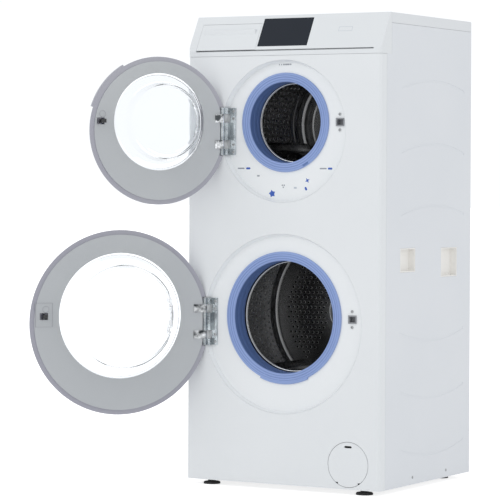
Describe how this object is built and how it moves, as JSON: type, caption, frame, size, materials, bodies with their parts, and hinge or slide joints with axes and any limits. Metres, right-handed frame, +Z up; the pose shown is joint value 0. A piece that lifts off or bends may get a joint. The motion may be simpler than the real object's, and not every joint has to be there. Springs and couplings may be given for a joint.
{
  "type": "washer dryer stack",
  "caption": "Tall freestanding laundry tower with a small round door above a large one, both open, on a white cabinet with a sloping control fascia and levelling feet.",
  "frame": {"origin": "on the floor under the middle of the cabinet, between the levelling feet", "axes": "+X to the right of someone facing the doors, +Y to the back, +Z up"},
  "size_m": [0.8707, 0.9293, 1.28],
  "materials": {
    "white_steel": "smooth white enamel",
    "white_plastic": "satin white moulding",
    "grip_plastic": "warm white moulding",
    "worktop": "white laminated board",
    "display_glass": "dark gloss glass",
    "circuit_board": "green board",
    "gasket_rubber": "soft blue rubber",
    "stainless": "perforated stainless steel",
    "chrome": "bright chrome",
    "hinge_metal": "grey die-cast metal",
    "door_grey": "grey satin moulding",
    "door_trim": "silver grey moulding",
    "clear_glass": "clear pressed glass",
    "dark_plastic": "dark moulding",
    "screw_steel": "zinc plated",
    "tub_plastic": "grey glass-filled plastic",
    "concrete": "cast concrete",
    "cast_alloy": "cast alloy",
    "galvanised": "galvanised steel",
    "copper_winding": "wound laminations",
    "foot_rubber": "black rubber"
  },
  "bodies": {
    "cabinet": {"back_panel": "galvanised", "base_frame": "tub_plastic", "carry_grips": "grip_plastic", "control_board": "circuit_board", "control_fascia": "white_plastic", "counterweights": "concrete", "cross_members": "galvanised", "dispenser_housing": "tub_plastic", "door_strikes": "dark_plastic", "drain_pump": "dark_plastic", "drum_bearings": "screw_steel", "dryer_duct": "galvanised", "filter_housing": "dark_plastic", "front_panel": "white_steel", "hinge_bases": "hinge_metal", "hinge_pins": "screw_steel", "hose_spigot": "dark_plastic", "inlet_valves": "dark_plastic", "left_side_panel": "white_steel", "lower_gasket": "gasket_rubber", "lower_surround": "white_plastic", "machine_screws": "screw_steel", "mains_gland": "dark_plastic", "motor_stators": "copper_winding", "right_side_panel": "white_steel", "suspension_dampers": "dark_plastic", "suspension_springs": "screw_steel", "top_lid": "worktop", "touch_display": "display_glass", "tub_fronts": "tub_plastic", "tub_rears": "tub_plastic", "upper_gasket": "gasket_rubber", "upper_surround": "white_plastic"},
    "upper_door": {"upper_door_inner": "door_grey", "upper_door_cover": "door_trim", "upper_door_window": "clear_glass", "upper_door_bowl": "clear_glass", "upper_hinge_straps": "chrome"},
    "upper_hook": {"upper_latch_hook": "dark_plastic"},
    "upper_drum_unit": {"upper_drum": "stainless", "upper_lifters": "stainless", "upper_drum_shaft": "cast_alloy", "upper_rotor": "galvanised"},
    "lower_door": {"lower_door_inner": "door_grey", "lower_door_cover": "door_trim", "lower_door_window": "clear_glass", "lower_door_bowl": "clear_glass", "lower_hinge_straps": "chrome"},
    "lower_hook": {"lower_latch_hook": "dark_plastic"},
    "lower_drum_unit": {"lower_drum": "stainless", "lower_lifters": "stainless", "lower_drum_shaft": "cast_alloy", "lower_rotor": "galvanised"},
    "flap": {"filter_flap": "white_plastic"},
    "cap": {"filter_cap": "dark_plastic"},
    "drawer": {"dispenser_drawer": "white_plastic"},
    "front_left_foot": {"front_left_foot": "foot_rubber"},
    "front_right_foot": {"front_right_foot": "foot_rubber"},
    "back_left_foot": {"back_left_foot": "foot_rubber"},
    "back_right_foot": {"back_right_foot": "foot_rubber"}
  },
  "joints": [
    {"name": "upper_door_hinge", "type": "hinge", "parent": "cabinet", "child": "upper_door", "pos_m": [-0.185, -0.2806, 0.964], "axis": [0, 0, 1], "range_deg": [0, 125.4]},
    {"name": "upper_hook_pivot", "type": "hinge", "parent": "upper_door", "child": "upper_hook", "pos_m": [-0.39232, -0.56387, 0.988], "axis": [0, 0, 1], "range_deg": [0, 6], "stiffness_Nm_per_rad": 0.3, "springref_deg": -5.73},
    {"name": "upper_drum_spin", "type": "hinge", "parent": "cabinet", "child": "upper_drum_unit", "pos_m": [0, 0, 0.988], "axis": [0, 1, 0], "continuous": true},
    {"name": "lower_door_hinge", "type": "hinge", "parent": "cabinet", "child": "lower_door", "pos_m": [-0.2375, -0.2806, 0.446], "axis": [0, 0, 1], "range_deg": [0, 132.8]},
    {"name": "lower_hook_pivot", "type": "hinge", "parent": "lower_door", "child": "lower_hook", "pos_m": [-0.54379, -0.60415, 0.464], "axis": [0, 0, 1], "range_deg": [0, 6], "stiffness_Nm_per_rad": 0.3, "springref_deg": -5.73},
    {"name": "lower_drum_spin", "type": "hinge", "parent": "cabinet", "child": "lower_drum_unit", "pos_m": [0, 0, 0.464], "axis": [0, 1, 0], "continuous": true},
    {"name": "filter_flap_hinge", "type": "hinge", "parent": "cabinet", "child": "flap", "pos_m": [0.2036, -0.2722, 0.0297], "axis": [1, 0, 0], "range_deg": [0, 90]},
    {"name": "filter_cap_turn", "type": "hinge", "parent": "cabinet", "child": "cap", "pos_m": [0.2036, -0.225, 0.0797], "axis": [0, 1, 0], "range_deg": [0, 90]},
    {"name": "dispenser_slide", "type": "slide", "parent": "cabinet", "child": "drawer", "axis": [0, -1, 0], "range_m": [0, 0.19]},
    {"name": "front_left_foot_turn", "type": "hinge", "parent": "cabinet", "child": "front_left_foot", "pos_m": [-0.236, -0.241, 0.01], "axis": [0, 0, 1], "continuous": true},
    {"name": "front_right_foot_turn", "type": "hinge", "parent": "cabinet", "child": "front_right_foot", "pos_m": [0.236, -0.241, 0.01], "axis": [0, 0, 1], "continuous": true},
    {"name": "back_left_foot_turn", "type": "hinge", "parent": "cabinet", "child": "back_left_foot", "pos_m": [-0.236, 0.215, 0.01], "axis": [0, 0, 1], "continuous": true},
    {"name": "back_right_foot_turn", "type": "hinge", "parent": "cabinet", "child": "back_right_foot", "pos_m": [0.236, 0.215, 0.01], "axis": [0, 0, 1], "continuous": true}
  ]
}
